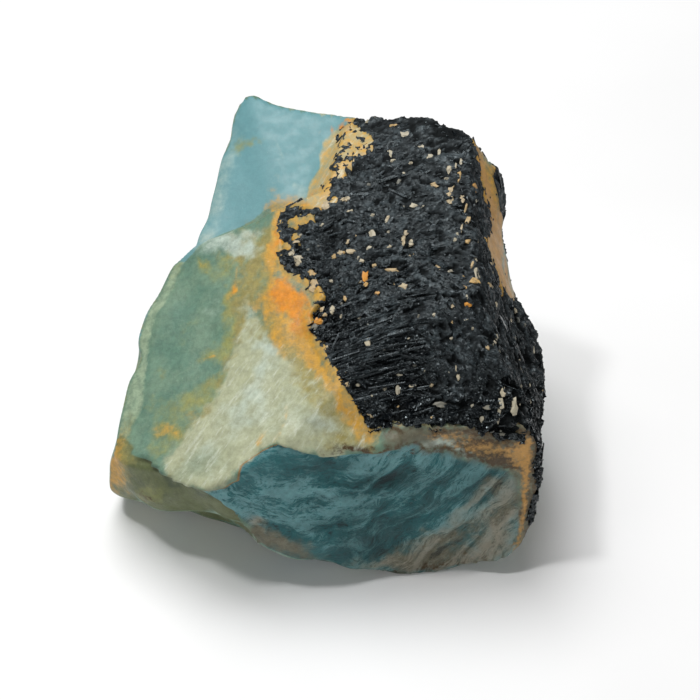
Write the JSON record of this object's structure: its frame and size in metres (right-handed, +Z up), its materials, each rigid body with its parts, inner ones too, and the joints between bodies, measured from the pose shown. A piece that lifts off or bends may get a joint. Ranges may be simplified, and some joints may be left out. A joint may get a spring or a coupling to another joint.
{
  "type": "aquamarine with black tourmaline",
  "caption": "Rough piece of blue-green beryl with a broken, rippled front, a pale stepped top and a granular crust of black tourmaline over its upper right side.",
  "frame": {"origin": "centre of the stone's bounding box, on the flat spot that it rests on", "axes": "+Z up, -Y towards the broken rippled front, +X towards the flank that the black crust covers"},
  "size_m": [0.0508, 0.0492, 0.0367],
  "materials": {
    "beryl": "satin",
    "schorl": "gloss"
  },
  "bodies": {
    "root": {"aquamarine": "beryl", "black_tourmaline": "schorl"}
  },
  "joints": []
}
